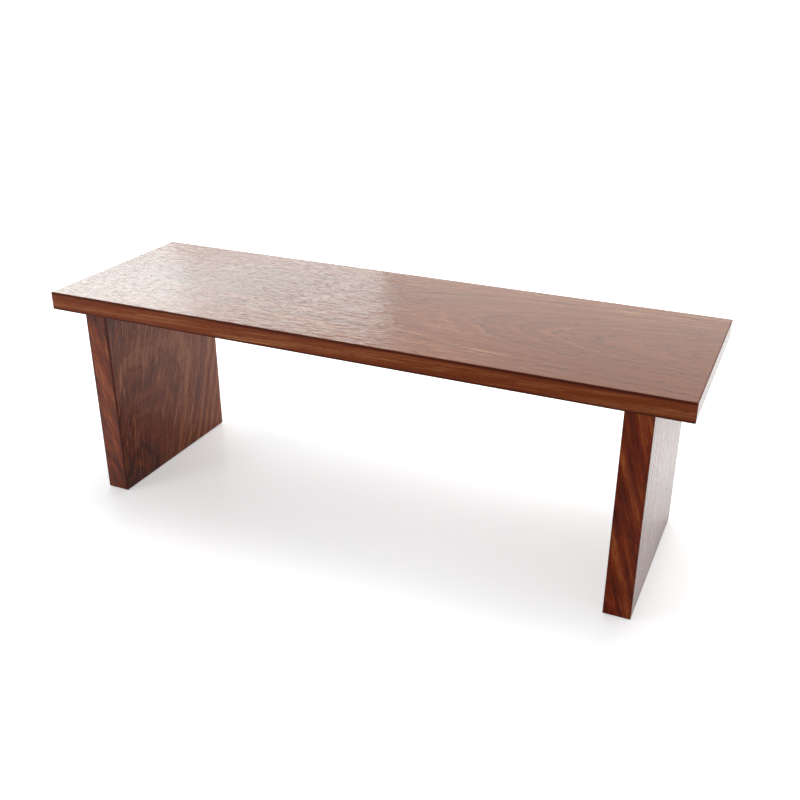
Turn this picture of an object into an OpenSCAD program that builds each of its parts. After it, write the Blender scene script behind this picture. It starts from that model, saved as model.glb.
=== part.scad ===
// Bathroom bench: a solid wood top on two slab legs, each glued up from three boards.
// Millimetres. +X runs along the bench, -Y is its front and +Z is up. The floor is z = 0.

/* [Bench] */
// Length of the top, end to end
bench_length = 1288; // [1000:1:1500]
// Depth of the top, front to back
bench_depth = 411; // [380:1:460]
// Height of the seat above the floor
seat_height = 450; // [400:1:500]
// Radius to which every outside edge is eased
arris_radius = 2.5; // [1:0.5:5]

/* [Top] */
// Thickness of the top
top_thickness = 37; // [32:1:50]
// Width of the middle one of the top's three boards
top_middle_board = 205; // [150:1:260]

/* [Legs] */
// Thickness of each slab leg
leg_thickness = 51; // [42:1:64]
// Distance from the end of the top to the leg's outer face
leg_overhang = 65; // [20:1:150]
// Distance from the top's front and back edges to the leg's
leg_inset = 19.5; // [5:0.5:25]
// Width of the middle one of each leg's three boards
leg_middle_board = 190; // [140:1:240]

/* [Dowels] */
// Diameter of the beech dowels that join each leg to the top
dowel_diameter = 12; // [8:1:14]
// Distance between neighbouring dowels
dowel_spacing = 94; // [84:1:106]
// Length of dowel let into the top
dowel_in_top = 25; // [15:1:28]
// Length of dowel let into the leg
dowel_in_leg = 33; // [20:1:45]
// Number of glue flutes round each dowel
dowel_flutes = 12; // [8:1:16]
// Radius of the cutter that makes a flute
flute_radius = 0.8; // [0.6:0.1:1]
// Depth of each glue flute
flute_depth = 0.4; // [0.2:0.1:0.5]
// Chamfer on both ends of a dowel
dowel_chamfer = 1.5; // [0.5:0.5:2]
// Glue gap all round a dowel
dowel_clearance = 0.1; // [0.05:0.05:0.2]
// Empty depth left past each end of a dowel for spare glue
dowel_end_gap = 1; // [0.5:0.5:2]

/* [Angle brackets] */
// Length of each steel angle, along the leg
bracket_length = 240; // [210:1:280]
// Width of each flange, measured from the outside corner
bracket_flange = 40; // [36:1:50]
// Thickness of the steel, and depth of its recess in the wood
bracket_thickness = 4; // [3:0.5:5]
// Inside radius of the bend
bend_radius = 4; // [3:0.5:6]
// Corner radius at the free edge of each flange
flange_corner = 6; // [2:1:10]
// Gap between the flange and the edge of its recess
recess_clearance = 0.5; // [0.2:0.1:1]
// Distance from the outside corner to the line of bolt holes
bolt_line = 24; // [22:1:26]
// Distance between neighbouring bolts
bolt_spacing = 90; // [80:1:95]
// Diameter of the round hole and width of the slots
bolt_hole = 6.6; // [6.4:0.1:7]
// Overall length of the slots, which let the wood move across its grain
slot_length = 12; // [9:0.5:14]

/* [Bolts, washers and inserts] */
// Thread diameter of the button head bolts
bolt_diameter = 6; // [5:0.5:6]
// Length of the bolts below the head
bolt_length = 16; // [14:1:20]
// Chamfer at the end of the bolts
bolt_point = 0.6; // [0.3:0.1:1]
// Diameter of the button head
bolt_head = 10.5; // [9:0.5:12]
// Height of the button head
bolt_head_height = 3.3; // [2.5:0.1:3.6]
// Height of the upright rim below the head's dome
bolt_head_rim = 0.4; // [0.2:0.1:0.8]
// Diameter of the flat on top of the button head
bolt_head_flat = 5.8; // [5.4:0.1:7]
// Size of the hexagon socket, across its flats
socket_size = 4; // [3:0.5:4.5]
// Depth of the hexagon socket
socket_depth = 2; // [1:0.1:2.2]
// Outside diameter of the washers
washer_diameter = 18; // [15:1:20]
// Thickness of the washers
washer_thickness = 1.6; // [1:0.1:2]
// Gap all round the bolt in its washer
washer_clearance = 0.2; // [0.1:0.05:0.3]
// Outside diameter of the threaded inserts
insert_diameter = 10; // [9:0.5:12]
// Length of the threaded inserts
insert_length = 15; // [12:1:16]
// Chamfer on both ends of an insert
insert_chamfer = 0.6; // [0.2:0.1:1]
// Width of the screwdriver slot across an insert's mouth
insert_slot_width = 1.6; // [1.2:0.1:2]
// Depth of the screwdriver slot
insert_slot_depth = 2; // [1.5:0.1:3]
// Gap between the bolt and the bore of its insert
thread_clearance = 0.05; // [0.02:0.01:0.1]
// Gap between an insert and its hole in the wood
insert_clearance = 0.05; // [0.02:0.01:0.1]
// Empty depth left past the buried end of an insert
insert_end_gap = 1; // [0.5:0.5:2]

/* [Glides] */
// Diameter of the nylon glides under the legs
glide_diameter = 28; // [22:1:36]
// Height of a glide
glide_height = 5; // [4:0.5:8]
// Height by which the glides lift the wood off the floor
glide_proud = 1.5; // [1:0.5:3]
// Radius of the glide's edge at the floor
glide_edge = 1.2; // [0.5:0.1:1.4]
// Distance from the leg's front or back edge to the glide's centre
glide_from_edge = 45; // [30:1:80]
// Gap all round a glide in its counterbore
glide_clearance = 0.25; // [0.1:0.05:0.3]

/* [Glide screws] */
// Diameter of the countersunk wood screws
glide_screw_diameter = 4; // [3.5:0.5:5]
// Length of the countersunk wood screws
glide_screw_length = 25; // [16:1:40]
// Length of the screw's point
glide_screw_point = 4; // [2:0.5:6]
// Diameter of the countersunk head
glide_screw_head = 8; // [7.5:0.5:9]
// Depth of the head below the face of the glide
glide_screw_sink = 0.5; // [0.3:0.1:1]
// Gap all round the screw in the glide and in the leg
glide_screw_clearance = 0.05; // [0.02:0.01:0.1]
// Length of the two slots of the cross recess
cross_length = 4.2; // [3:0.1:5]
// Width of the two slots of the cross recess
cross_width = 0.9; // [0.6:0.1:1.2]
// Depth of the cross recess
cross_depth = 1.2; // [0.8:0.1:1.6]

/* [Hidden] */
$fn = 48;
past = 1; // how far a cutter runs on past the face that it opens

top_under = seat_height - top_thickness;
leg_outer_x = bench_length / 2 - leg_overhang;
leg_inner_x = leg_outer_x - leg_thickness;
leg_mid_x = leg_outer_x - leg_thickness / 2;
leg_depth = bench_depth - 2 * leg_inset;

top_glue_y = top_middle_board / 2;
leg_glue_y = leg_middle_board / 2;

// Four dowels, two to each side of the middle.
dowel_y = [for (i = [-1.5 : 1.5]) i * dowel_spacing];
dowel_foot = top_under - dowel_in_leg;
dowel_length = dowel_in_leg + dowel_in_top;

corner_x = leg_inner_x + bracket_thickness;
corner_z = top_under + bracket_thickness;
bend_outer = bend_radius + bracket_thickness;

// Three bolts in each flange: the middle one in a round hole, the others in slots.
bolt_y = [-bolt_spacing, 0, bolt_spacing];
bolt_top_x = corner_x - bolt_line;
bolt_leg_z = corner_z - bolt_line;
socket_across_corners = socket_size / cos(30);
// The head's dome is part of a ball that meets the rim and the edge of the flat.
dome_centre = (pow(bolt_head_flat / 2, 2) + pow(bolt_head_height, 2) - pow(bolt_head / 2, 2)
    - pow(bolt_head_rim, 2)) / (2 * (bolt_head_height - bolt_head_rim));
dome_radius = sqrt(pow(bolt_head / 2, 2) + pow(bolt_head_rim - dome_centre, 2));

glide_y = leg_depth / 2 - glide_from_edge;
screw_hole = glide_screw_diameter + 2 * glide_screw_clearance;
sink_mouth = glide_screw_head / 2 + glide_screw_sink + glide_screw_clearance * sqrt(2);
sink_depth = sink_mouth - screw_hole / 2;
screw_head_depth = (glide_screw_head - glide_screw_diameter) / 2;
screw_end = glide_screw_sink + glide_screw_length;

board_a = "#7a4231";
board_b = "#6b3727";
board_c = "#743d2c";
beech = "#d6b58a";
black_steel = "#2b2b2d";
zinc = "#c3c6ca";
brass = "#bb9a4a";
nylon = "#e8e4d8";

// General shapes

// A rectangle with round corners, centred.
module round_rectangle(w, h, r) {
    square([w - 2 * r, h], center = true);
    square([w, h - 2 * r], center = true);
    for (x = [-1, 1], y = [-1, 1]) translate([x * (w / 2 - r), y * (h / 2 - r)]) circle(r);
}

// A slab with every edge eased, on z = 0 and centred in X and Y.
module eased_slab(x, y, z, r) {
    intersection() {
        linear_extrude(z) round_rectangle(x, y, r);
        translate([0, 0, z / 2]) rotate([90, 0, 0])
            linear_extrude(y, center = true) round_rectangle(x, z, r);
        translate([0, 0, z / 2]) rotate([90, 0, 90])
            linear_extrude(x, center = true) round_rectangle(y, z, r);
    }
}

// The part of its children between two glue lines and below a height.
module board_between(y0, y1, z1) {
    intersection() {
        children();
        translate([-bench_length / 2 - past, y0, 0])
            cube([bench_length + 2 * past, y1 - y0, z1]);
    }
}

// Puts its children, drawn at the right end, at the left end.
module at_left() {
    mirror([1, 0, 0]) children();
}

module at_both_ends() {
    children();
    at_left() children();
}

// A slot along Y, or a round hole where it is as long as it is wide.
module slot(w, l) {
    if (l > w) {
        square([w, l - w], center = true);
        for (y = [-1, 1]) translate([0, y * (l - w) / 2]) circle(d = w);
    } else circle(d = w);
}

// Places on the two flanges: +Z of the children points into the wood.
module on_top_bolts() {
    for (y = bolt_y) translate([bolt_top_x, y, top_under]) children();
}

module on_leg_bolts() {
    for (y = bolt_y) translate([leg_inner_x, y, bolt_leg_z]) rotate([0, 90, 0]) children();
}

// Cuts in the wood, drawn at the right end

module dowel_holes() {
    for (y = dowel_y) translate([leg_mid_x, y, dowel_foot - dowel_end_gap])
        cylinder(d = dowel_diameter + 2 * dowel_clearance, h = dowel_length + 2 * dowel_end_gap);
}

// The flange seen square on: x = 0 is the angle's outside corner.
module flange_outline(grow) {
    w = bracket_flange + grow;
    l = bracket_length + 2 * grow;
    r = flange_corner + grow;
    translate([0, -l / 2]) square([w - r, l]);
    translate([w - r, -l / 2 + r]) square([r, l - 2 * r]);
    for (y = [-1, 1]) translate([w - r, y * (l / 2 - r)]) circle(r);
}

module top_recess() {
    translate([corner_x, 0, top_under - past]) mirror([1, 0, 0])
        linear_extrude(bracket_thickness + past) flange_outline(recess_clearance);
}

module leg_recess() {
    translate([leg_inner_x - past, 0, corner_z]) rotate([0, 90, 0])
        linear_extrude(bracket_thickness + past) flange_outline(recess_clearance);
}

module insert_hole() {
    cylinder(d = insert_diameter + 2 * insert_clearance,
        h = bracket_thickness + insert_length + insert_end_gap);
}

module glide_pocket() {
    cylinder(d = glide_diameter + 2 * glide_clearance, h = glide_height);
    cylinder(d = screw_hole, h = screw_end + past);
}

// The two panels, with their cuts

module top_panel() {
    difference() {
        translate([0, 0, top_under])
            eased_slab(bench_length, bench_depth, top_thickness, arris_radius);
        at_both_ends() {
            dowel_holes();
            top_recess();
            on_top_bolts() insert_hole();
        }
    }
}

// The leg's top end is square, so its slab is cut from a taller one.
module leg_panel() {
    difference() {
        translate([leg_mid_x, 0, glide_proud])
            eased_slab(leg_thickness, leg_depth, top_under + arris_radius, arris_radius);
        dowel_holes();
        leg_recess();
        on_leg_bolts() insert_hole();
        for (y = [-glide_y, glide_y]) translate([leg_mid_x, y, 0]) glide_pocket();
    }
}

// The boards of the top

module top_front_board() {
    color(board_a) board_between(-bench_depth / 2, -top_glue_y, seat_height) top_panel();
}

module top_middle_board() {
    color(board_b) board_between(-top_glue_y, top_glue_y, seat_height) top_panel();
}

module top_back_board() {
    color(board_c) board_between(top_glue_y, bench_depth / 2, seat_height) top_panel();
}

// The boards of a leg

module leg_front_board() {
    color(board_b) board_between(-leg_depth / 2, -leg_glue_y, top_under) leg_panel();
}

module leg_middle_board() {
    color(board_c) board_between(-leg_glue_y, leg_glue_y, top_under) leg_panel();
}

module leg_back_board() {
    color(board_a) board_between(leg_glue_y, leg_depth / 2, top_under) leg_panel();
}

// The joint between a leg and the top

module dowel_outline() {
    difference() {
        circle(d = dowel_diameter);
        for (i = [0 : dowel_flutes - 1]) rotate(i * 360 / dowel_flutes)
            translate([dowel_diameter / 2 + flute_radius - flute_depth, 0]) circle(flute_radius);
    }
}

module dowel_chamfer_cut() {
    r = dowel_diameter / 2;
    rotate_extrude() polygon([
        [r - dowel_chamfer - past, -past],
        [r + past, -past],
        [r + past, dowel_chamfer + past]
    ]);
}

module dowel() {
    difference() {
        linear_extrude(dowel_length) dowel_outline();
        dowel_chamfer_cut();
        translate([0, 0, dowel_length]) mirror([0, 0, 1]) dowel_chamfer_cut();
    }
}

module dowels() {
    color(beech) for (y = dowel_y) translate([leg_mid_x, y, dowel_foot]) dowel();
}

// One flange from the bend's tangent line to its free edge, with its slots.
module flange() {
    linear_extrude(bracket_thickness) difference() {
        intersection() {
            flange_outline(0);
            translate([bend_outer, -bracket_length / 2])
                square([bracket_flange - bend_outer, bracket_length]);
        }
        for (y = bolt_y) translate([bolt_line, y]) slot(bolt_hole, y == 0 ? bolt_hole : slot_length);
    }
}

module bend() {
    rotate([90, 0, 0]) linear_extrude(bracket_length, center = true) intersection() {
        difference() {
            circle(bend_outer);
            circle(bend_radius);
        }
        square(bend_outer);
    }
}

module angle_bracket() {
    color(black_steel) {
        translate([corner_x, 0, top_under]) mirror([1, 0, 0]) flange();
        translate([leg_inner_x, 0, corner_z]) rotate([0, 90, 0]) flange();
        translate([corner_x - bend_outer, 0, corner_z - bend_outer]) bend();
    }
}

// A threaded insert, flush with the floor of the bracket's recess, with a slot that it is driven by.
module insert() {
    r = insert_diameter / 2;
    bore = bolt_diameter / 2 + thread_clearance;
    translate([0, 0, bracket_thickness]) difference() {
        rotate_extrude() polygon([
            [bore, 0],
            [r - insert_chamfer, 0],
            [r, insert_chamfer],
            [r, insert_length - insert_chamfer],
            [r - insert_chamfer, insert_length],
            [bore, insert_length]
        ]);
        translate([-r - past, -insert_slot_width / 2, -past])
            cube([insert_diameter + 2 * past, insert_slot_width, insert_slot_depth + past]);
    }
}

module washer() {
    translate([0, 0, -washer_thickness]) difference() {
        cylinder(d = washer_diameter, h = washer_thickness);
        translate([0, 0, -past])
            cylinder(d = bolt_diameter + 2 * washer_clearance, h = washer_thickness + 2 * past);
    }
}

// A button head bolt, its head below z = 0 and its shank above.
module bolt() {
    r = bolt_diameter / 2;
    rotate_extrude() polygon([
        [0, 0],
        [r, 0],
        [r, bolt_length - bolt_point],
        [r - bolt_point, bolt_length],
        [0, bolt_length]
    ]);
    difference() {
        intersection() {
            translate([0, 0, -bolt_head_height]) cylinder(d = bolt_head, h = bolt_head_height);
            translate([0, 0, -dome_centre]) sphere(dome_radius);
        }
        translate([0, 0, -bolt_head_height - past])
            cylinder(d = socket_across_corners, h = socket_depth + past, $fn = 6);
    }
}

module top_inserts() {
    color(brass) on_top_bolts() insert();
}

module leg_inserts() {
    color(brass) on_leg_bolts() insert();
}

module top_bolts() {
    color(black_steel) on_top_bolts() translate([0, 0, -washer_thickness]) bolt();
}

module leg_bolts() {
    color(black_steel) on_leg_bolts() translate([0, 0, -washer_thickness]) bolt();
}

module washers() {
    color(zinc) {
        on_top_bolts() washer();
        on_leg_bolts() washer();
    }
}

// The feet

module glide() {
    r = glide_diameter / 2;
    color(nylon) rotate_extrude() difference() {
        square([r, glide_height]);
        polygon([
            [-past, -past],
            [sink_mouth + past, -past],
            [screw_hole / 2, sink_depth],
            [screw_hole / 2, glide_height + past],
            [-past, glide_height + past]
        ]);
        difference() {
            translate([r - glide_edge, -past]) square([glide_edge + past, glide_edge + past]);
            translate([r - glide_edge, glide_edge]) circle(glide_edge);
        }
    }
}

module front_glide() {
    translate([leg_mid_x, -glide_y, 0]) glide();
}

module back_glide() {
    translate([leg_mid_x, glide_y, 0]) glide();
}

module glide_screw() {
    r = glide_screw_diameter / 2;
    translate([0, 0, glide_screw_sink]) difference() {
        rotate_extrude() polygon([
            [0, 0],
            [glide_screw_head / 2, 0],
            [r, screw_head_depth],
            [r, glide_screw_length - glide_screw_point],
            [0, glide_screw_length]
        ]);
        for (a = [0, 90]) rotate(a) translate([-cross_length / 2, -cross_width / 2, -past])
            cube([cross_length, cross_width, cross_depth + past]);
    }
}

module glide_screws() {
    color(zinc) for (y = [-glide_y, glide_y]) translate([leg_mid_x, y, 0]) glide_screw();
}

top_front_board();
top_middle_board();
top_back_board();
at_left() leg_front_board();  // left_leg_front_board
at_left() leg_middle_board();  // left_leg_middle_board
at_left() leg_back_board();  // left_leg_back_board
leg_front_board();  // right_leg_front_board
leg_middle_board();  // right_leg_middle_board
leg_back_board();  // right_leg_back_board
at_left() dowels();  // left_dowels
dowels();  // right_dowels
at_left() angle_bracket();  // left_angle_bracket
angle_bracket();  // right_angle_bracket
at_left() top_inserts();  // left_top_inserts
top_inserts();  // right_top_inserts
at_left() leg_inserts();  // left_leg_inserts
leg_inserts();  // right_leg_inserts
at_left() top_bolts();  // left_top_bolts
top_bolts();  // right_top_bolts
at_left() leg_bolts();  // left_leg_bolts
leg_bolts();  // right_leg_bolts
at_left() washers();  // left_washers
washers();  // right_washers
at_left() front_glide();  // left_front_glide
at_left() back_glide();  // left_back_glide
front_glide();  // right_front_glide
back_glide();  // right_back_glide
at_left() glide_screws();  // left_glide_screws
glide_screws();  // right_glide_screws
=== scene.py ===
"""Looks for the bathroom bench: solid walnut under satin lacquer, black joint hardware, nylon glides.

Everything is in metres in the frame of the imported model: +X runs along the bench, -Y is its front
and +Z is up.
"""

from __future__ import annotations

import logging
import math
from dataclasses import dataclass, replace
from enum import Enum
from functools import reduce

import bpy
import numpy as np
from mathutils import Matrix, Quaternion, Vector

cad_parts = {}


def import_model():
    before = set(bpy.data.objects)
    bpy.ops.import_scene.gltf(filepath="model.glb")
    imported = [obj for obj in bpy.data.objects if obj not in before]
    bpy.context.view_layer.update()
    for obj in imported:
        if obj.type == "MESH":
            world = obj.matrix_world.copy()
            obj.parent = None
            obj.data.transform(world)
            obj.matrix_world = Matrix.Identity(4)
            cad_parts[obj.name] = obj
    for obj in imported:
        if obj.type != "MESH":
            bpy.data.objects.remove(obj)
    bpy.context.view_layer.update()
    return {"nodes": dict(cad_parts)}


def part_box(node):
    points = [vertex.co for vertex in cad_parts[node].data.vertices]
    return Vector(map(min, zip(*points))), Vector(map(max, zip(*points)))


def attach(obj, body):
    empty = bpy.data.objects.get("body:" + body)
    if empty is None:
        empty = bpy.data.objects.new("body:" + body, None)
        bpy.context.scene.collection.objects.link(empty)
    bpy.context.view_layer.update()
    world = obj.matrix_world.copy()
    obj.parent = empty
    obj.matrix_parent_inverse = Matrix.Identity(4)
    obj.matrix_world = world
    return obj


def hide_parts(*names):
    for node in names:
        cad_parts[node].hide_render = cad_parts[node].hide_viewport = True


log = logging.getLogger("bench")

Colour = tuple[float, float, float]
Place = tuple[float, float, float]
Socket = bpy.types.NodeSocket
Value = Socket | float
Inputs = dict[int | str, object]
Grain = dict[str, Socket]


def srgb(red: int, green: int, blue: int) -> Colour:
    """Turns a colour read off a screen, 0 to 255, into the linear colour that a shader takes.

    Args:
        red: Red, 0 to 255.
        green: Green, 0 to 255.
        blue: Blue, 0 to 255.

    Returns:
        The linear colour, each channel 0 to 1.
    """
    share = [c / 255 for c in (red, green, blue)]
    return tuple(c / 12.92 if c <= 0.04045 else ((c + 0.055) / 1.055) ** 2.4 for c in share)


class GrainWay(Enum):
    """Which way a panel's grain runs: its length, width and thickness as places in an X, Y, Z vector."""

    ALONG_BENCH = (0, 1, 2)
    UP_LEG = (2, 1, 0)


class ShaderNet:
    """A short way to write a node tree."""

    def __init__(self, tree: bpy.types.NodeTree) -> None:
        """Empties the tree of a material or of the world, and keeps it."""
        self.tree = tree
        tree.nodes.clear()

    def node(self, kind: str, inputs: Inputs | None = None, **settings: object) -> bpy.types.Node:
        """Adds a node.

        Args:
            kind: The node's type name, without ShaderNode before it.
            inputs: Its inputs by name or number, each a plain value or a socket that is linked to it.
            **settings: Properties of the node.

        Returns:
            The new node.
        """
        made = self.tree.nodes.new("ShaderNode" + kind)
        for name, value in settings.items():
            setattr(made, name, value)
        for key, value in (inputs or {}).items():
            if isinstance(value, bpy.types.NodeSocket):
                self.tree.links.new(value, made.inputs[key])
            else:
                plain = made.inputs[key].type != "RGBA"
                made.inputs[key].default_value = value if plain else (*value, 1)
        return made

    def wire(self, kind: str, *values: object, **settings: object) -> Socket:
        """Adds a node with its first inputs in order, and gives its first output."""
        return self.node(kind, dict(enumerate(values)), **settings).outputs[0]

    def math(self, operation: str, *values: Value) -> Socket:
        """Adds a Math node with its operation and its inputs, and gives its result."""
        return self.wire("Math", *values, operation=operation)

    def plus(self, first: Value, second: Value) -> Socket:
        """Adds two values."""
        return self.math("ADD", first, second)

    def less(self, first: Value, second: Value) -> Socket:
        """Takes the second value from the first."""
        return self.math("SUBTRACT", first, second)

    def times(self, first: Value, second: Value) -> Socket:
        """Multiplies two values."""
        return self.math("MULTIPLY", first, second)

    def times_plus(self, value: Value, factor: Value, start: Value) -> Socket:
        """Gives a value times a factor, plus a start."""
        return self.math("MULTIPLY_ADD", value, factor, start)

    def bell(self, off: Value) -> Socket:
        """Gives e to the minus square of a value, which is 1 at 0 and falls away on both sides."""
        return self.math("EXPONENT", self.times(self.times(off, off), -1))

    def hypotenuse(self, first: Value, second: Value) -> Socket:
        """Gives the root of the sum of two values' squares."""
        return self.math("SQRT", self.plus(self.times(first, first), self.times(second, second)))

    def weigh(self, start: Value, layers: tuple[tuple[Socket, float], ...]) -> Socket:
        """Adds layers to a start, each times its weight. The layers come in pairs with their weights."""
        return reduce(lambda total, pair: self.times_plus(*pair, total), layers, start)

    def ramp(self, value: Value, low: float, high: float) -> Socket:
        """Carries a value from low..high to 0..1, held at both ends, with a gentle start and end."""
        return self.wire("MapRange", value, low, high, interpolation_type="SMOOTHSTEP")

    def object_axes(self) -> tuple[Socket, ...]:
        """Gives the Object coordinates X, Y and Z."""
        return tuple(self.node("SeparateXYZ", {0: self.node("TexCoord").outputs["Object"]}).outputs)

    def noise(self, point: Socket, scale: Place, detail: float, rough: float, shift: float = 0.0) -> Socket:
        """Adds a Noise Texture whose scale differs along the three axes.

        Args:
            point: Where the noise is read.
            scale: Number of its lumps per metre, along each axis.
            detail: Number of finer layers.
            rough: Strength of each finer layer.
            shift: A step along the axes, which picks another part of the noise.

        Returns:
            The noise, mostly between 0.3 and 0.7.
        """
        step = (shift, 0.37 * shift, 0.71 * shift)
        placed = self.node("Mapping", {"Vector": point, "Scale": scale, "Location": step}).outputs[0]
        inputs = {"Vector": placed, "Scale": 1, "Detail": detail, "Roughness": rough}
        return self.node("TexNoise", inputs, noise_dimensions="3D").outputs["Fac"]

    def noise_on_line(self, value: Socket, scale: float, detail: float, rough: float) -> Socket:
        """Adds a Noise Texture that is read along one number, with so many lumps per unit of it."""
        inputs = {"W": value, "Scale": scale, "Detail": detail, "Roughness": rough}
        return self.node("TexNoise", inputs, noise_dimensions="1D").outputs["Fac"]

    def tint(self, value: Socket, stops: tuple[tuple[float, Colour], ...]) -> Socket:
        """Turns a number into a colour by a Color Ramp.

        Args:
            value: A number from 0 to 1.
            stops: Places on the ramp with their colours.

        Returns:
            The colour.
        """
        made = self.node("ValToRGB", {0: value})
        ramp = made.color_ramp
        while len(ramp.elements) < len(stops):
            ramp.elements.new(0.5)
        for element, (place, colour) in zip(ramp.elements, stops):
            element.position = place
            element.color = (*colour, 1)
        return made.outputs[0]

    def blend(self, share: Value, first: object, second: object, way: str = "MIX") -> Socket:
        """Mixes two colours, with this share of the second, in a Mix node of some blend type."""
        inputs = {0: share, 6: first, 7: second}
        return self.node("Mix", inputs, data_type="RGBA", blend_type=way).outputs[2]

    def bump(self, height: Socket, distance: float, strength: float) -> Socket:
        """Bumps the normal by a height from 0 to 1, where 1 is so many metres high."""
        inputs = {"Height": height, "Distance": distance, "Strength": strength}
        return self.node("Bump", inputs).outputs[0]

    def end_in_principled(self, inputs: Inputs) -> None:
        """Ends a material's tree in a Principled shader."""
        self.node("OutputMaterial", {"Surface": self.node("BsdfPrincipled", inputs).outputs[0]})

    def mirrored(self, path: bpy.types.Node) -> Socket:
        """Gives 1 where a Light Path node says that something is seen in a reflection or through glass."""
        return self.math("MAXIMUM", path.outputs["Is Glossy Ray"], path.outputs["Is Transmission Ray"])


def new_material(name: str) -> tuple[bpy.types.Material, ShaderNet]:
    """Makes a material with an empty tree.

    Args:
        name: The material's name.

    Returns:
        The material and its tree.
    """
    material = bpy.data.materials.new(name)
    material.use_nodes = True
    return material, ShaderNet(material.node_tree)


@dataclass(frozen=True)
class Figure:
    """How the growth rings lie in a glued-up panel. Lengths are in metres, along the panel's own axes.

    The rings are tubes round a pith that runs behind the shown face. Where it comes nearer to the face,
    the face cuts the rings in nested arches, and elsewhere in nearly straight lines.
    """

    pith_depth: float  # depth of the pith at the place where the arches start
    pith_across: float  # place of the pith across the width
    pith_lean: float  # how fast the pith moves across the width along the grain
    arches_from: float  # place along the grain where the arches start
    arch_slope: float  # how fast the pith nears the face past that place
    plain_slope: float  # how fast it does so everywhere
    waviness: float  # how far the rings swing in and out
    fan: float  # how far the fibres lean across the width, at the middle of the panel
    edge_lean: float  # how far they lean through the thickness, on the two long edges
    band_rate: float  # broad bands of rings per metre of radius
    seed: float  # picks another piece of timber
    painted_sheen_across: float = 0.0  # painted sheen: how much paler the colour grows across the width, per metre
    rise: float = 0.0  # painted sheen: how much paler its two faces grow along the grain, per metre
    face: float = 0.0  # place of the shown face along the thickness
    arch_width: float = 0.12  # half width of the band that holds the arches
    arch_rest: float = 0.3  # share of the arch slope outside that band
    arch_ease: float = 0.15  # way over which the arches start
    sway: float = 0.05  # how far the pith swings across the width
    fan_width: float = 0.65  # half width of the band of leaning fibres, in half widths of the panel


@dataclass(frozen=True)
class Depths:
    """How strongly each layer of the wood's pattern shows in its colour."""

    bands: float  # broad bands of rings
    rings: float  # the late wood of single rings
    streaks: float  # long streaks, about 10 mm wide
    cords: float  # long lines, about 3 mm wide
    fibres: float  # short lines, about 1 mm wide
    flecks: float  # light lines, about 100 mm long
    mottle: float  # blotches about 15 mm wide, mostly on the long edges
    edge_lines: float  # long streaks on the long edges alone
    clouds: float = 0.2  # patches as wide as a board
    end_grain: float = 0.12  # how much darker the two ends are


@dataclass(frozen=True)
class Lumps:
    """A noise in the wood, stretched along the grain."""

    along: float  # lumps per metre along the grain
    across: float  # lumps per metre across it and through it
    detail: float  # number of finer layers
    rough: float  # strength of each finer layer
    shift: float  # keeps it apart from the other noises

    def read(self, net: ShaderNet, point: Socket, seed: float) -> Socket:
        """Reads the noise at a point of one piece of timber, which has its own number, the seed."""
        scale = (self.along, self.across, self.across)
        return net.noise(point, scale, self.detail, self.rough, seed + self.shift)


SWAY = Lumps(2.1, 5, 2, 0.5, 0)
WAVE = Lumps(9, 22, 3, 0.55, 9)
RAGGED = Lumps(34, 170, 3, 0.7, 1)
LAYERS = {
    "streaks": Lumps(2.4, 90, 2, 0.6, 3),
    "cords": Lumps(6, 330, 2, 0.6, 4),
    "fibres": Lumps(22, 560, 3, 0.65, 5),
    "clouds": Lumps(1.6, 5, 1, 0.5, 7),
    "pores": Lumps(60, 1400, 1, 0.5, 11),
    "flecks": Lumps(5.5, 200, 2, 0.6, 13),
    "ripples": Lumps(28, 100, 1, 0.5, 17),
    "swells": Lumps(7, 38, 1, 0.5, 19),
    "mottle": Lumps(22, 70, 3, 0.65, 23),
}


@dataclass(frozen=True)
class LateWood:
    """The dark wood at the outside of each growth ring."""

    rate: float  # growth rings per metre of radius
    power: float  # how thin the late wood of a ring is
    drop_from: float = 0.8  # share of a ring where its late wood starts to drop back
    drift: float = 0.022  # how far the rings drift in and out, in metres
    drift_rate: float = 30.0  # lumps of that drift per metre of radius
    raggedness: float = 1.6  # how ragged the rings are, in rings
    rarity: float = 2.5  # how few of the rings are strong
    faintest: float = 0.12  # strength of the faintest ring, where the strongest is 1

    def shade(self, net: ShaderNet, radius: Socket, point: Socket, seed: float) -> Socket:
        """Gives how dark the late wood is.

        The radius times the rate, with a slow drift, counts the rings. The share past a whole number, raised
        to a power, is the darkening within a ring, and it drops back over the last fifth. Each ring has its
        own strength, drawn from its number.

        Args:
            net: The material's tree.
            radius: Distance from the pith.
            point: The place in the panel.
            seed: The timber's own number.

        Returns:
            0 in early wood, up to 1 in the late wood of a strong ring.
        """
        drift = net.times(net.noise_on_line(radius, self.drift_rate, 1, 0.5), self.drift * self.rate)
        ragged = net.times(RAGGED.read(net, point, seed), self.raggedness)
        count = net.times_plus(radius, self.rate, net.plus(drift, ragged))
        share = net.math("FRACT", count)
        within = net.times(net.math("POWER", share, self.power), net.ramp(share, 1.0, self.drop_from))
        number = net.plus(net.math("FLOOR", count), seed)
        draw = net.node("TexWhiteNoise", {"W": number}, noise_dimensions="1D").outputs["Value"]
        drawn = net.math("POWER", draw, self.rarity)
        return net.times(within, net.times_plus(drawn, 1 - self.faintest, self.faintest))


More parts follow.
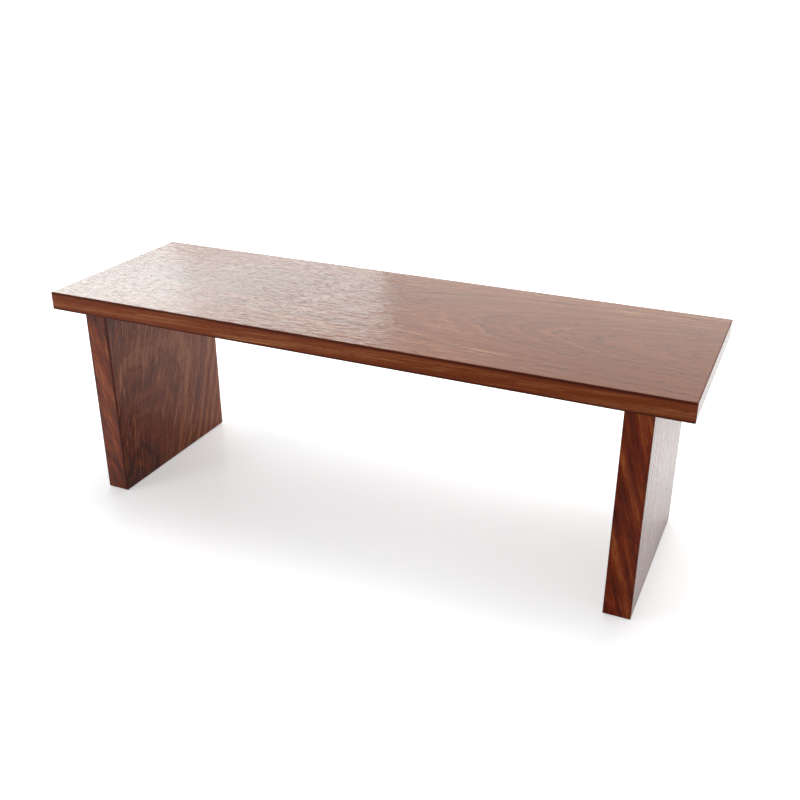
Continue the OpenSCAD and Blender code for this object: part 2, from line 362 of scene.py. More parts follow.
@dataclass(frozen=True)
class Lacquer:
    """A satin lacquer that follows the wood a little, so that a lamp's reflection breaks into dashes."""

    gloss: float  # specular level
    relief: float  # how strongly the grain stands out
    swells: float = 1.0  # share of the relief that is long waves, about 26 mm wide
    ripples: float = 0.45  # share of it that is short waves, about 10 mm wide
    fine: float = 1.0  # share of it that follows the fibres
    height: float = 0.0006  # full height of the relief, in metres
    rough: float = 0.15
    ior: float = 1.45

    def roughness(self, net: ShaderNet, grain: Grain) -> Socket:
        """Gives the roughness, which changes with the fibres and is higher on late wood and on an arris."""
        layers = ((net.less(grain["fibres"], 0.5), 0.12), (grain["late"], 0.05), (grain["arris"], 0.3))
        return net.weigh(self.rough, layers)

    def normal(self, net: ShaderNet, grain: Grain) -> Socket:
        """Gives the normal, bumped by fibres, cords, waves and the hollows of the pores."""
        layers = (
            (grain["fibres"], 0.7 * self.fine), (grain["cords"], 0.6 * self.fine),
            (grain["ripples"], self.ripples), (grain["streaks"], 1.1 * self.swells),
            (grain["swells"], 3.0 * self.swells), (grain["pores"], -0.2),
        )
        return net.bump(net.weigh(0.0, layers), self.height, self.relief)


@dataclass(frozen=True)
class SatinWalnut:
    """Walnut stained red-brown under a satin lacquer.

    The colour comes from broad growth bands, dark late wood at the outside of each ring, streaks and fibres
    along the grain and short dark pores.
    """

    name: str
    way: GrainWay
    figure: Figure
    late: LateWood
    lacquer: Lacquer
    depths: Depths
    middle: Colour
    light: Colour
    dark: Colour = srgb(70, 20, 6)
    pore: Colour = srgb(52, 15, 6)
    # dark colour of the painted shade along the arrises
    arris: Colour = srgb(62, 14, 4)
    lively: tuple[float, float] | None = None  # stretch along the grain where the short waves are highest
    fade: float = 0.2  # way over which that stretch starts and ends
    calm: float = 0.35  # share of the short waves outside it
    faint: float = 0.4  # share of the late wood before it
    pore_stain: float = 0.5  # share of the pores' colour
    arris_painted_shade: float = 0.8  # share of the painted shade's colour on the arrises
    edge_tint: Colour = (1.0, 0.85, 0.82)  # what the colour is times on the two long edges
    edge_late: float = 0.4  # share of the late wood there
    face_mottle: float = 0.15  # share of the blotches on the faces
    edge_reach: tuple[float, float] = (0.0022, 0.0004)  # ways in where an edge starts and is full
    arris_reach: tuple[float, float] = (0.0038, 0.0018)  # the same for an arris
    arris_ways: tuple[float, float] = (1.5, 0.6)  # how much the ways in from edge and face count
    half_size: Place = (1.0, 1.0, 1.0)  # half the panel's size along X, Y and Z
    centre: Place = (0.0, 0.0, 0.0)

    def fitted(self, boards: tuple[str, ...]) -> SatinWalnut:
        """Fits the walnut to the panel that some boards make up.

        Args:
            boards: The boards' names.

        Returns:
            The same walnut with the panel's size and centre, and its shown face, which is the top's upper one
            and the legs' one toward +X.
        """
        lows, highs = zip(*(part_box(name) for name in boards))
        low, high = np.min(lows, axis=0), np.max(highs, axis=0)
        figure = replace(self.figure, face=float(high[self.way.value[2]]))
        return replace(self, figure=figure, half_size=tuple((high - low) / 2), centre=tuple((high + low) / 2))

    def way_in(self, net: ShaderNet, place: Socket, axis: int) -> Socket:
        """Gives how far a place is in from the nearer side of the panel along an axis."""
        return net.less(self.half_size[axis], net.math("ABSOLUTE", net.less(place, self.centre[axis])))

    def ring_radius(self, net: ShaderNet, along: Socket, across: Socket, through: Socket) -> Socket:
        """Gives the distance from the pith, which is the same all round a growth ring.

        The pith's depth is its depth at the arches, less the plain slope times the place along the grain,
        less the arch slope times the way past the arches' start, which falls away across the width. The
        radius is the root of the squares of that depth and of the way across from the pith, which may lean.

        Args:
            net: The material's tree.
            along: Place along the grain.
            across: Place across the width.
            through: Place through the thickness.

        Returns:
            The radius, in metres.
        """
        f = self.figure
        point = net.wire("CombineXYZ", along, across, through)
        sway, wave = (net.less(lumps.read(net, point, f.seed), 0.5) for lumps in (SWAY, WAVE))
        beside = net.less(across, net.times_plus(along, f.pith_lean, f.pith_across))
        beside = net.times_plus(sway, f.sway, beside)
        near = net.bell(net.math("DIVIDE", beside, f.arch_width))
        near = net.times_plus(near, 1 - f.arch_rest, f.arch_rest)
        past = net.math("SMOOTH_MAX", net.less(along, f.arches_from), 0, f.arch_ease)
        rise = net.times(net.times(past, f.arch_slope), near)
        rise = net.times_plus(along, f.plain_slope, rise)
        depth = net.less(net.plus(net.less(through, f.face), f.pith_depth), rise)
        return net.hypotenuse(beside, net.times_plus(wave, f.waviness, depth))

    def leaning_across(self, net: ShaderNet, along: Socket, across: Socket) -> Socket:
        """Moves the place across the width so that the fibres lean in the middle of the panel.

        Args:
            net: The material's tree.
            along: Place along the grain.
            across: Place across the width.

        Returns:
            A number that stays the same along a fibre: the place less the fan times the way along from the
            panel's middle, times a bell over the width.
        """
        length, width, _ = self.way.value
        reach = self.figure.fan_width * self.half_size[width]
        off = net.math("DIVIDE", net.less(across, self.centre[width]), reach)
        past = net.times(net.less(along, self.centre[length]), self.figure.fan)
        return net.less(across, net.times(net.bell(off), past))

    def edge_places(self, net: ShaderNet, across: Socket, through: Socket) -> tuple[Socket, Socket]:
        """Gives where the panel's long edges are, and the arrises between them and the faces.

        The painted shade along an arris reaches further onto the edge than onto the face, so the way in from
        the face counts less there.

        Args:
            net: The material's tree.
            across: Place across the width.
            through: Place through the thickness.

        Returns:
            1 on a long edge and 0 elsewhere, and 1 on an arris, falling to 0 about 6 mm from it.
        """
        _, width, depth = self.way.value
        inside, below = self.way_in(net, across, width), self.way_in(net, through, depth)
        by_edge, by_face = self.arris_ways
        arris = net.plus(net.times(inside, by_edge), net.times(below, by_face))
        return net.ramp(inside, *self.edge_reach), net.ramp(arris, *self.arris_reach)

    def grain(self, net: ShaderNet) -> Grain:
        """Reads every layer of the wood's pattern.

        Args:
            net: The material's tree.

        Returns:
            The layers by name, with the place along the grain, the place across it that stays the same along
            a fibre, and where the edges, the ends and the arrises are.
        """
        f, axes = self.figure, net.object_axes()
        along, across, through = (axes[i] for i in self.way.value)
        edge, arris = self.edge_places(net, across, through)
        end = net.ramp(self.way_in(net, along, self.way.value[0]), *self.edge_reach)
        radius = self.ring_radius(net, along, across, through)
        across = self.leaning_across(net, along, across)
        lean = net.times_plus(edge, f.edge_lean, f.plain_slope)
        point = net.wire("CombineXYZ", along, across, net.less(through, net.times(along, lean)))
        layers = {name: lumps.read(net, point, f.seed) for name, lumps in LAYERS.items()}
        late = self.late.shade(net, radius, point, f.seed)
        late = net.times(late, net.times_plus(edge, self.edge_late - 1, 1))
        ripples = net.ramp(layers["ripples"], 0.4, 0.62)
        if self.lively:
            start, stop = self.lively
            after = net.ramp(along, start - self.fade, start)
            within = net.times(after, net.ramp(along, stop + self.fade, stop))
            ripples = net.times(ripples, net.times_plus(within, 1 - self.calm, self.calm))
            late = net.times(late, net.times_plus(after, 1 - self.faint, self.faint))
        flecks = net.times(net.ramp(layers["flecks"], 0.55, 0.70), net.ramp(layers["clouds"], 0.40, 0.58))
        blotches = net.times_plus(edge, 1 - self.face_mottle, self.face_mottle)
        return layers | {
            "along": along, "across": across, "edge": edge, "arris": arris, "end": end, "late": late,
            "ripples": ripples, "bands": net.noise_on_line(net.plus(radius, f.seed), f.band_rate, 2, 0.6),
            "flecks": net.times(flecks, net.less(1, end)), "pores": net.ramp(layers["pores"], 0.60, 0.68),
            "mottle": net.times_plus(net.less(layers["mottle"], 0.5), blotches, 0.5),
        }

    def colour(self, net: ShaderNet, grain: Grain) -> Socket:
        """Gives the colour: a tone from dark to light with some painted sheen, then the pores, a tint on the
        long edges and painted shade on the arrises.

        Args:
            net: The material's tree.
            grain: The wood's layers by name.

        Returns:
            The colour.
        """
        d, edge = self.depths, grain["edge"]
        names = ("bands", "streaks", "cords", "fibres", "clouds", "mottle")
        tone = net.weigh(0.5, tuple((net.less(grain[name], 0.5), getattr(d, name)) for name in names))
        edge_lines = net.times(net.less(grain["streaks"], 0.5), edge)
        # Painted sheen: the faces grow paler along the grain, darker below the panel's middle and paler above
        # it, and the panel grows paler across its width.
        past = net.times(net.less(grain["along"], self.centre[self.way.value[0]]), net.less(1, edge))
        tone = net.weigh(tone, (
            (edge_lines, d.edge_lines), (grain["across"], self.figure.painted_sheen_across), (past, self.figure.rise),
            (grain["late"], -d.rings), (grain["flecks"], d.flecks), (grain["end"], -d.end_grain),
        ))
        colour = net.tint(tone, ((0.15, self.dark), (0.5, self.middle), (0.85, self.light)))
        colour = net.blend(net.times(grain["pores"], self.pore_stain), colour, self.pore)
        colour = net.blend(edge, colour, self.edge_tint, "MULTIPLY")
        # Paints a line of shade along the arrises.
        return net.blend(net.times(grain["arris"], self.arris_painted_shade), colour, self.arris)

    def make(self) -> bpy.types.Material:
        """Builds the material.

        Returns:
            The finished material.
        """
        material, net = new_material(self.name)
        grain = self.grain(net)
        net.end_in_principled({
            "Base Color": self.colour(net, grain), "Roughness": self.lacquer.roughness(net, grain),
            "Normal": self.lacquer.normal(net, grain), "IOR": self.lacquer.ior,
            "Specular IOR Level": self.lacquer.gloss,
        })
        return material


TOP_WALNUT = SatinWalnut(
    "top_walnut", GrainWay.ALONG_BENCH,
    Figure(
        pith_depth=0.20, pith_across=0.002, pith_lean=0.0, arches_from=0.1, arch_slope=0.25, plain_slope=0.02,
        waviness=0.022, fan=0.0, edge_lean=0.0, band_rate=60, seed=2.0,
    ),
    LateWood(rate=95, power=6), Lacquer(gloss=0.11, relief=0.4, swells=0.12, ripples=0.86, fine=0.45),
    Depths(0.35, 2.1, 0.12, 0.22, 0.45, 0.27, 0.1, 0.6),
    middle=srgb(134, 67, 30), light=srgb(179, 124, 81), dark=srgb(105, 51, 26), lively=(-0.2, 0.0),
)
LEFT_LEG_WALNUT = SatinWalnut(
    "left_leg_walnut", GrainWay.UP_LEG,
    Figure(
        pith_depth=0.05, pith_across=-0.15, pith_lean=0.38, arches_from=0.0, arch_slope=-0.35,
        # The last two settings paint a sheen on this leg: paler toward the back and the top, darker toward
        # the front and the foot.
        plain_slope=-0.05, waviness=0.05, fan=0.4, edge_lean=-0.17, band_rate=40, seed=5.0, painted_sheen_across=0.7,
        rise=0.6,
    ),
    LateWood(rate=150, power=2.5), Lacquer(gloss=0.24, relief=0.5),
    Depths(0.8, 0.5, 0.3, 0.35, 0.7, 0.4, 0.35, 0.2),
    middle=srgb(139, 64, 28), light=srgb(180, 116, 77), edge_tint=(1.02, 0.83, 0.5),
)
RIGHT_LEG_WALNUT = SatinWalnut(
    "right_leg_walnut", GrainWay.UP_LEG,
    Figure(
        pith_depth=0.06, pith_across=0.03, pith_lean=-0.1, arches_from=0.0, arch_slope=-0.3, plain_slope=-0.1,
        waviness=0.03, fan=-0.1, edge_lean=-0.2, band_rate=36, seed=8.0,
    ),
    LateWood(rate=150, power=5), Lacquer(gloss=0.15, relief=0.8),
    Depths(0.5, 0.9, 0.45, 0.35, 0.6, 0.26, 0.5, 0.75),
    # Less painted shade along this leg's arrises.
    middle=srgb(120, 49, 18), light=srgb(162, 100, 62), edge_tint=(1.18, 0.88, 0.47), arris_painted_shade=0.3,
)


@dataclass(frozen=True)
class PlainFinish:
    """A metal or plastic finish with fine mottling in its colour and gloss, and a grain in its surface."""

    name: str
    low: Colour
    high: Colour
    metallic: float
    rough: float
    rough_spread: float
    grain: Place = (900, 900, 900)  # lumps per metre of the fine grain
    grain_height: float = 0.00002
    broad_grain: Place = (60, 60, 60)  # the same for the broad mottling
    broad_shift: float = 4.0

    def make(self) -> bpy.types.Material:
        """Builds the material.

        Returns:
            The finished material.
        """
        material, net = new_material(self.name)
        point = net.node("TexCoord").outputs["Object"]
        fine = net.noise(point, self.grain, 3, 0.6)
        broad = net.noise(point, self.broad_grain, 2, 0.5, self.broad_shift)
        mottle = net.ramp(net.weigh(0.0, ((fine, 0.5), (broad, 0.5))), 0.35, 0.65)
        net.end_in_principled({
            "Metallic": self.metallic, "Base Color": net.blend(mottle, self.low, self.high),
            "Roughness": net.times_plus(net.less(fine, 0.5), self.rough_spread, self.rough),
            "Normal": net.bump(fine, self.grain_height, 0.6),
        })
        return material


BEECH = PlainFinish(
    "dowel_beech", srgb(196, 160, 114), srgb(222, 190, 146), 0, 0.6, 0.2, grain=(420, 420, 12),
    grain_height=0.00008,
)
POWDER_COAT = PlainFinish(
    "black_powder_coat", srgb(24, 24, 25), srgb(34, 34, 36), 0, 0.5, 0.2, grain=(1400, 1400, 1400),
    grain_height=0.00006,
)
BLACK_OXIDE = PlainFinish("black_oxide_steel", srgb(48, 48, 52), srgb(70, 70, 74), 0.9, 0.35, 0.15)
ZINC = PlainFinish("zinc_plated_steel", srgb(176, 180, 186), srgb(208, 211, 216), 1, 0.28, 0.12)
BRASS = PlainFinish("turned_brass", srgb(186, 150, 78), srgb(212, 178, 104), 1, 0.3, 0.12)
NYLON = PlainFinish("moulded_nylon", srgb(218, 213, 200), srgb(230, 226, 214), 0, 0.5, 0.12)
FINISHES = (BEECH, POWDER_COAT, BLACK_OXIDE, ZINC, BRASS, NYLON)

Nodes = dict[str, bpy.types.Object]
Finishes = dict[str, bpy.types.Material]


def dress(nodes: Nodes, names: tuple[str, ...], material: bpy.types.Material) -> None:
    """Gives one material to some of the frame's nodes.

    Args:
        nodes: The frame's nodes.
        names: Names of the nodes to dress.
        material: Their material.
    """
    for name in names:
        slots = nodes[name].data.materials
        slots.clear()
        slots.append(material)
        log.info("dressed %s in %s", name, material.name)


def stage_object(name: str, data: bpy.types.ID) -> bpy.types.Object:
    """Puts a mesh, a lamp or a camera in the scene, at the origin.

    Args:
        name: The object's name.
        data: What it shows.

    Returns:
        The object.
    """
    made = bpy.data.objects.new(name, data)
    bpy.context.scene.collection.objects.link(made)
    return made


@dataclass(frozen=True)
class TurnedSurface:
    """A closed surface round the Z axis: a grid of rows along its outline by columns round it."""

    radius: np.ndarray  # rows by columns
    height: np.ndarray  # one for each row
    angles: np.ndarray  # one for each column, rising, from 0
    poles: tuple[float, float]  # heights of the two points on the axis that close the first and last rows
    sharp_from: float = math.radians(32)  # angle from which an edge shows as sharp

    def piece(self, name: str, places: list[Matrix], material: bpy.types.Material) -> bpy.types.Object:
        """Makes one object of several copies of the surface.

        A point is (radius cos angle, radius sin angle, height). Each row is joined to the next all the way
        round, and the first and last rows by triangles to their poles. The rows run from the head outward and
        down to the tip, so that the faces point outward.

        Args:
            name: The object's name.
            places: Where the copies stand.
            material: What they are made of.

        Returns:
            The object, at the origin.
        """
        rows, columns = self.radius.shape
        height = np.broadcast_to(self.height[:, None], self.radius.shape)
        ring = np.stack((self.radius * np.cos(self.angles), self.radius * np.sin(self.angles), height), -1)
        ends = [(0, 0, pole) for pole in self.poles]
        points = np.concatenate((ring.reshape(-1, 3), ends))
        here = np.arange(rows * columns).reshape(rows, columns)
        beside = np.roll(here, -1, axis=1)
        quads = np.stack((here[:-1], beside[:-1], beside[1:], here[1:]), -1).reshape(-1, 4)
        first, last = rows * columns, rows * columns + 1
        caps = np.concatenate((
            np.stack((np.full(columns, first), beside[0], here[0]), -1),
            np.stack((here[-1], beside[-1], np.full(columns, last)), -1),
        ))
        turns = [np.array(place) for place in places]
        placed = np.concatenate([points @ turn[:3, :3].T + turn[:3, 3] for turn in turns])
        steps = np.arange(len(places))[:, None, None] * len(points)
        faces = (quads + steps).reshape(-1, 4).tolist() + (caps + steps).reshape(-1, 3).tolist()
        mesh = bpy.data.meshes.new(name)
        mesh.from_pydata(placed.tolist(), [], faces)
        mesh.shade_smooth()
        mesh.set_sharp_from_angle(angle=self.sharp_from)
        mesh.materials.append(material)
        return stage_object(name, mesh)


@dataclass(frozen=True)
class Thread:
    """A right-hand thread with flat crests and roots. Lengths are in metres."""

    pitch: float  # height of one turn
    depth: float
    crest: float  # share of the pitch that the crest's flat takes
    root: float  # share of it that the root's flat takes
    rows_per_turn: int
    starts_at: float  # height where it starts to fade in, over one turn

    def cut(self, height: np.ndarray, angles: np.ndarray) -> np.ndarray:
        """Gives how deep the thread is cut.

        A triangle wave of the height in pitches less the angle in turns is 1 in the middle of a crest and 0
        in the middle of a root. It is cut off at both, and the cut deepens evenly between.

        Args:
            height: One for each row.
            angles: One for each column.

        Returns:
            Rows by columns, 0 on the crest and the thread's depth in the root.
        """
        turns = height[:, None] / self.pitch - angles / math.tau
        wave = np.abs(2 * (turns - np.floor(turns)) - 1)
        groove = np.clip((1 - self.crest - wave) / (1 - self.crest - self.root), 0, 1)
        return self.depth * np.clip((height - self.starts_at) / self.pitch, 0, 1)[:, None] * groove


@dataclass(frozen=True)
class SocketBolt:
    """A button head bolt with a hexagon socket, along +Z with its head below 0. Lengths are in metres."""

    thread: Thread = Thread(0.001, 0.0006, 0.16, 0.25, rows_per_turn=12, starts_at=0.0004)
    shank: float = 0.003  # radius over the thread's crests
    length: float = 0.016
    point: float = 0.0006
    head: float = 0.00525  # radius
    head_height: float = 0.0033
    rim: float = 0.0004  # height of the head's upright edge
    flat: float = 0.0029  # radius of the flat on the head
    socket: float = 0.002  # half its width across flats
    socket_depth: float = 0.002
    ease: float = 0.0001
    columns: int = 48
    dome_rows: int = 12

    def surface(self) -> TurnedSurface:
        """Builds the bolt's surface.

        The socket's radius is half its width over the cosine of the angle from the middle of the nearest
        flat. The dome is the part of a sphere between the edge of the flat and the top of the rim. The
        shank's radius is its crest's less the thread, which fades in below the head, and shrinks with the way
        past the point.

        Returns:
            The surface, from the socket's floor over the head and down to the tip.
        """
        angles = np.arange(self.columns) * math.tau / self.columns
        hexagon = self.socket / np.cos(np.mod(angles, math.tau / 6) - math.tau / 12)
        floor, top = self.socket_depth - self.head_height, -self.head_height
        drop = self.flat ** 2 + self.head_height ** 2 - self.head ** 2 - self.rim ** 2
        centre = drop / (2 * (self.head_height - self.rim))
        dome = np.linspace(self.flat, self.head, self.dome_rows)
        domed = -(centre + np.sqrt(self.head ** 2 + (self.rim - centre) ** 2 - dome ** 2))
        rows = round(self.length / self.thread.pitch * self.thread.rows_per_turn) + 1
        shank = np.linspace(0, self.length, rows)
        tip = np.minimum(self.shank, self.shank + self.length - self.point - shank)[:, None]
        ease, ring = self.ease, np.ones_like(angles)
        radius = np.concatenate((
            [hexagon / 2, hexagon - ease, hexagon, hexagon, hexagon + ease],
            dome[:, None] * ring,
            [self.head * ring, (self.head - ease) * ring],
            np.minimum(self.shank - self.thread.cut(shank, angles), tip),
        ))
        height = np.concatenate(([floor, floor, floor - ease, top + ease, top], domed, [-ease, 0], shank))
        return TurnedSurface(radius, height, angles, (floor, self.length))


@dataclass(frozen=True)
class WoodScrew:
    """A flat head wood screw with a cross recess, along +Z with its head's face at 0. Lengths in metres."""

    thread: Thread = Thread(0.0018, 0.0006, 0.08, 0.5, rows_per_turn=14, starts_at=0.005)
    shank: float = 0.002  # radius over the thread's crests
    length: float = 0.025
    point: float = 0.004
    tip_gap: float = 0.00006  # way from the last row to the tip
    head: float = 0.004  # radius
    head_depth: float = 0.002
    arm: float = 0.0021  # half the length of the cross
    arm_width: float = 0.00045  # half the width of its arms
    recess: float = 0.0012
    ease: float = 0.0001
    arm_columns: int = 3  # columns over half an arm's end
    side_columns: int = 11  # columns between two arms
    thinnest: float = 1e-6  # smallest sine that the arms' half width is divided by

    def surface(self) -> TurnedSurface:
        """Builds the screw's surface.

        The cross's radius is the smaller of the arm's half length over the cosine, and its half width over
        the sine, of the angle from the nearest arm. Columns stand at its corners. The head is a cone. The
        shank's radius less the thread is even up to the point, and then falls to nothing.

        Returns:
            The surface, from the recess's floor over the head and down to the tip.
        """
        corner, right = math.atan2(self.arm_width, self.arm), math.pi / 2
        stops = (0, corner, right - corner, right)
        counts = (self.arm_columns, self.side_columns, self.arm_columns)
        spans = zip(stops, stops[1:], counts)
        quarter = np.concatenate([np.linspace(low, high, count)[:-1] for low, high, count in spans])
        angles = (np.arange(4)[:, None] * right + quarter).ravel()
        fold = np.abs(np.mod(angles + right / 2, right) - right / 2)
        cross = np.minimum(self.arm / np.cos(fold), self.arm_width / np.maximum(np.sin(fold), self.thinnest))
        step = self.thread.pitch / self.thread.rows_per_turn
        shank = np.arange(self.head_depth, self.length - self.tip_gap, step)
        body = np.minimum(1, (self.length - shank) / self.point)[:, None]
        ease, ring, face = self.ease, np.ones_like(angles), self.head - self.ease
        radius = np.concatenate((
            [cross / 2, cross - ease, cross, cross, cross + ease, (cross + face) / 2],
            [face * ring, face * ring],
            body * (self.shank - self.thread.cut(shank, angles)),
        ))
        height = np.concatenate(([self.recess, self.recess, self.recess - ease, ease, 0, 0, 0, ease], shank))
        return TurnedSurface(radius, height, angles, (self.recess, self.length))


def stand_in(piece: bpy.types.Object, node: str) -> None:
    """Shows a piece in the place of a solid of the frame.

    Args:
        piece: The new piece.
        node: The solid that it stands for.
    """
    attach(piece, "root")
    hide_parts(node)
    log.info("built %s in place of %s", piece.name, node)


@dataclass(frozen=True)
class Slab:
    """The top or a leg: three boards cut from one plank and glued back in order, under one figure."""

    name: str
    walnut: SatinWalnut

    def dress(self, nodes: Nodes) -> None:
        """Dresses the slab's boards in its walnut, fitted to the panel that they make up."""
        boards = tuple(f"{self.name}_{place}_board" for place in ("front", "middle", "back"))
        dress(nodes, boards, self.walnut.fitted(boards).make())


@dataclass(frozen=True)
class LegJoint:
    """What holds a leg to the top: dowels, and an angle on bolts in threaded inserts. Lengths in metres."""

    end: str
    bolt: SocketBolt = SocketBolt()
    bolt_rows: tuple[float, ...] = (-0.09, 0.0, 0.09)  # places of the bolts along Y
    top_bolts: tuple[float, float] = (0.508, 0.413)  # their distance from the middle, and the top's underside
    leg_bolts: tuple[float, float] = (0.528, 0.393)  # the leg's inner face from the middle, and their height
    washer: float = 0.0016  # thickness

    def build(self, finishes: Finishes) -> None:
        """Builds the bolts of one end: three up into the top, and three outward into the leg.

        Args:
            finishes: The finished materials by name.
        """
        way = 1 if self.end == "right" else -1
        surface, steel = self.bolt.surface(), finishes[BLACK_OXIDE.name]
        (top_x, top_z), (leg_x, leg_z) = self.top_bolts, self.leg_bolts
        outward = Matrix.Rotation(way * math.pi / 2, 4, "Y")
        up = [Matrix.Translation((way * top_x, y, top_z - self.washer)) for y in self.bolt_rows]
        out = [Matrix.Translation((way * (leg_x - self.washer), y, leg_z)) @ outward for y in self.bolt_rows]
        for part, places in (("top_bolts", up), ("leg_bolts", out)):
            made = surface.piece(f"{self.end}_{part}_turned", places, steel)
            stand_in(made, f"{self.end}_{part}")

    def dress(self, nodes: Nodes, finishes: Finishes) -> None:
        """Dresses the hardware of one end.

        Args:
            nodes: The frame's nodes.
            finishes: The finished materials by name.
        """
        worn = {
            "dowels": BEECH, "angle_bracket": POWDER_COAT, "top_inserts": BRASS, "leg_inserts": BRASS,
            "top_bolts": BLACK_OXIDE, "leg_bolts": BLACK_OXIDE, "washers": ZINC,
        }
        for part, finish in worn.items():
            dress(nodes, (f"{self.end}_{part}",), finishes[finish.name])


@dataclass(frozen=True)
class Feet:
    """The glides under one leg and their screws. Lengths are in metres."""

    end: str
    screw: WoodScrew = WoodScrew()
    leg_x: float = 0.5535  # the leg's middle from the bench's
    glide_rows: tuple[float, ...] = (-0.141, 0.141)  # places of the glides along Y
    sink: float = 0.0005  # height of the screws' heads over the floor

    def build(self, finishes: Finishes) -> None:
        """Builds the two screws of one end.

        Args:
            finishes: The finished materials by name.
        """
        x = self.leg_x if self.end == "right" else -self.leg_x
        places = [Matrix.Translation((x, y, self.sink)) for y in self.glide_rows]
        made = self.screw.surface().piece(f"{self.end}_glide_screws_turned", places, finishes[ZINC.name])
        stand_in(made, f"{self.end}_glide_screws")

    def dress(self, nodes: Nodes, finishes: Finishes) -> None:
        """Dresses the glides and screws of one end."""
        dress(nodes, (f"{self.end}_front_glide", f"{self.end}_back_glide"), finishes[NYLON.name])
        dress(nodes, (f"{self.end}_glide_screws",), finishes[ZINC.name])


COOL: Colour = (0.88, 1.0, 1.0)
GREENISH: Colour = (0.97, 0.99, 0.94)


@dataclass(frozen=True)
class Softbox:
    """A rectangular lamp that faces a point."""

    name: str
    place: Place
    aim: Place
    width: float
    height: float
    radiance: float  # brightness of its face; 1 is white
    colour: Colour = (1.0, 0.98, 0.94)

    def light(self) -> None:
        """Adds the lamp. Its power is its radiance times its area times pi."""
        data = bpy.data.lights.new(self.name, "AREA")
        data.shape = "RECTANGLE"
        data.size, data.size_y = self.width, self.height
        data.color = self.colour
        data.energy = self.radiance * self.width * self.height * math.pi
        lamp = stage_object(self.name, data)
        lamp.location = self.place
        lamp.rotation_euler = look_from(self.place, self.aim).to_euler()


LAMPS = (
    Softbox("back_softbox", (-3.1, 3.5, 2.05), (-0.2, 0, 0.4), 2.8, 0.85, 6.0, COOL),
    Softbox("left_softbox", (-4.4, 3.3, 2.1), (-0.4, 0, 0.4), 2.3, 1.1, 2.2, COOL),
    Softbox("back_wall_card", (-0.3, 4.2, 1.7), (0.1, 0, 0.4), 3.0, 2.4, 2.0, GREENISH),
    Softbox("overhead_softbox", (-0.4, 0.5, 3.2), (0, 0, 0.3), 2.4, 2.0, 2.7),
    Softbox("front_fill", (-1.9, -2.1, 1.3), (-0.4, 0, 0.25), 1.0, 1.0, 4.5),
    Softbox("right_fill", (2.6, 0.9, 1.0), (0.55, 0, 0.25), 1.0, 0.8, 2.5),
)


def look_from(place: Place, aim: Place) -> Quaternion:
    """Gives the turn that points a lamp or a camera from a place at another."""
    return (Vector(aim) - Vector(place)).to_track_quat("-Z", "Y")


@dataclass(frozen=True)
class Rise:
    """A gentle rise over the floor. Its start and end are in metres, and its height is how much it adds."""

    start: float
    end: float
    height: float

    def over(self, net: ShaderNet, place: Socket) -> Socket:
        """Gives the rise along a place, from 0 to its height."""
        return net.times(net.ramp(place, self.start, self.end), self.height)


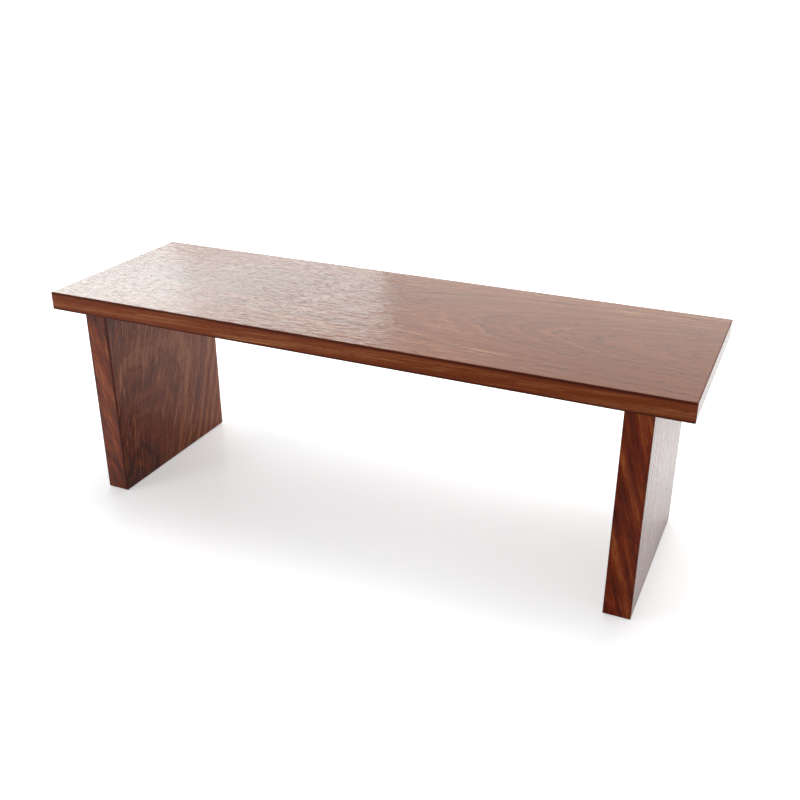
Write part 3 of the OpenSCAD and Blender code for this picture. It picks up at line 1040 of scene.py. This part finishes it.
@dataclass(frozen=True)
class Floor:
    """A pale, matt floor with a faint gloss, clear from below so that the feet show.

    Where the camera sees it, it glows up to white, less near the legs, so that the shadow stays. In the
    lacquer's reflections it glows too, but not in front of the bench, and less behind its right end.
    """

    size: float = 60.0
    colour: Colour = (0.795, 0.805, 0.825)
    gloss: float = 0.012
    gloss_rough: float = 0.2
    stand: tuple[float, float] = (0.58, 0.19)  # half the length and depth of the legs' stand on the floor
    near_glow: float = 0.405
    away: Rise = Rise(0.0, 0.35, 0.28)  # with the distance from the stand
    right: Rise = Rise(0.53, 0.62, 0.17)  # along X, past the right leg
    rightward: Rise = Rise(-0.35, 0.25, 0.06)  # along X
    seen_far: Rise = Rise(0.3, 1.5, 0.15)  # with the distance from the stand, where the camera sees it
    seen_back: Rise = Rise(0.15, 0.8, 0.15)  # along Y, there too
    mirror_right: Rise = Rise(0.56, 0.62, 0.24)  # along X, in reflections

    def distance(self, net: ShaderNet, x: Socket, y: Socket) -> Socket:
        """Gives the distance on the floor from the rectangle that the legs stand round, and 0 inside it."""
        ways = (net.less(net.math("ABSOLUTE", place), half) for place, half in zip((x, y), self.stand))
        return net.hypotenuse(*(net.math("MAXIMUM", way, 0) for way in ways))

    def mirrored_side(self, net: ShaderNet, x: Socket, y: Socket) -> Socket:
        """Gives where the floor glows in reflections: behind the bench and at both its ends.

        Args:
            net: The floor's tree.
            x: Place along X.
            y: Place along Y.

        Returns:
            1 where it glows in full and 0 where it doesn't.
        """
        side = net.math("MAXIMUM", net.ramp(y, 0.0, 0.26), net.ramp(x, -0.1, -0.8))
        side = net.math("MAXIMUM", side, net.ramp(x, 0.52, 0.6))
        behind_end = net.times(net.ramp(x, 0.5, 0.6), net.ramp(y, 0.3, 0.9))
        return net.times_plus(behind_end, -0.3, side)

    def glow(self, net: ShaderNet, path: bpy.types.Node) -> Socket:
        """Gives how strongly the floor glows.

        Args:
            net: The floor's tree.
            path: Its Light Path node.

        Returns:
            The strength of its glow.
        """
        (x, y, _), camera, mirrored = net.object_axes(), path.outputs["Is Camera Ray"], net.mirrored(path)
        seen = net.math("MAXIMUM", camera, net.times(mirrored, self.mirrored_side(net, x, y)))
        far = self.distance(net, x, y)
        lift = self.near_glow
        for rise, place in ((self.away, far), (self.right, x), (self.rightward, x)):
            lift = net.plus(rise.over(net, place), lift)
        more = net.plus(self.seen_far.over(net, far), self.seen_back.over(net, y))
        lift = net.times_plus(more, camera, lift)
        return net.times_plus(seen, lift, net.times(mirrored, self.mirror_right.over(net, x)))

    def lay(self) -> None:
        """Adds the floor and its material."""
        half = self.size / 2
        mesh = bpy.data.meshes.new("floor")
        corner_points = [(x * half, y * half, 0) for x, y in ((-1, -1), (1, -1), (1, 1), (-1, 1))]
        mesh.from_pydata(corner_points, [], [(0, 1, 2, 3)])
        material, net = new_material("studio_floor")
        glossy = net.node("BsdfGlossy", {"Roughness": self.gloss_rough}).outputs[0]
        body = net.wire("MixShader", self.gloss, net.wire("BsdfDiffuse", self.colour), glossy)
        path = net.node("LightPath")
        glow = net.node("Emission", {"Strength": self.glow(net, path)}).outputs[0]
        below = net.times(net.node("NewGeometry").outputs["Backfacing"], path.outputs["Is Camera Ray"])
        shown = net.wire("MixShader", below, net.wire("AddShader", body, glow), net.wire("BsdfTransparent"))
        net.node("OutputMaterial", {"Surface": shown})
        mesh.materials.append(material)
        stage_object("floor", mesh)


@dataclass(frozen=True)
class Studio:
    """Floor, lamps, world and camera."""

    floor: Floor = Floor()
    lamps: tuple[Softbox, ...] = LAMPS
    camera_place: Place = (0.7842, -1.6425, 1.0933)
    camera_aim: Place = (-0.0018, 0.1032, 0.2)
    camera_roll: float = math.radians(0.08)
    lens: float = 43.98  # millimetres
    sensor: float = 36.0  # its width, in millimetres
    view_end: float = 200.0  # how far the camera sees, in metres
    world_light: float = 0.4
    mirrored_world: float = 0.8

    def shoot(self) -> None:
        """Sets up the camera at the photograph's angle."""
        data = bpy.data.cameras.new("camera")
        data.lens, data.sensor_width, data.clip_end = self.lens, self.sensor, self.view_end
        camera = stage_object("camera", data)
        look = look_from(self.camera_place, self.camera_aim).to_matrix()
        turn = (look @ Matrix.Rotation(self.camera_roll, 3, "Z")).to_4x4()
        camera.matrix_world = Matrix.Translation(self.camera_place) @ turn
        bpy.context.scene.camera = camera

    def hang_world(self) -> None:
        """Adds a world that is white where it is seen, and dimmer where it is mirrored or lights."""
        world = bpy.data.worlds.new("studio_world")
        bpy.context.scene.world = world
        world.use_nodes = True
        net = ShaderNet(world.node_tree)
        path = net.node("LightPath")
        unseen = net.times_plus(net.mirrored(path), self.mirrored_world - self.world_light, self.world_light)
        strength = net.math("MAXIMUM", path.outputs["Is Camera Ray"], unseen)
        net.node("OutputWorld", {"Surface": net.wire("Background", (1, 1, 1), strength)})

    def build(self) -> None:
        """Sets up the whole studio."""
        self.shoot()
        self.floor.lay()
        for lamp in self.lamps:
            lamp.light()
        self.hang_world()
        bpy.context.scene.view_settings.view_transform = "Standard"


def main() -> None:
    """Loads the frame, dresses each sub-assembly in turn, and sets up the studio."""
    logging.basicConfig(level=logging.INFO, format="%(message)s")
    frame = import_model()
    nodes = frame["nodes"]
    Studio().build()
    finishes = {finish.name: finish.make() for finish in FINISHES}
    Slab("top", TOP_WALNUT).dress(nodes)
    for end, walnut in (("left", LEFT_LEG_WALNUT), ("right", RIGHT_LEG_WALNUT)):
        Slab(f"{end}_leg", walnut).dress(nodes)
        for group in (LegJoint(end), Feet(end)):
            group.dress(nodes, finishes)
            group.build(finishes)


if __name__ == "__main__":
    main()
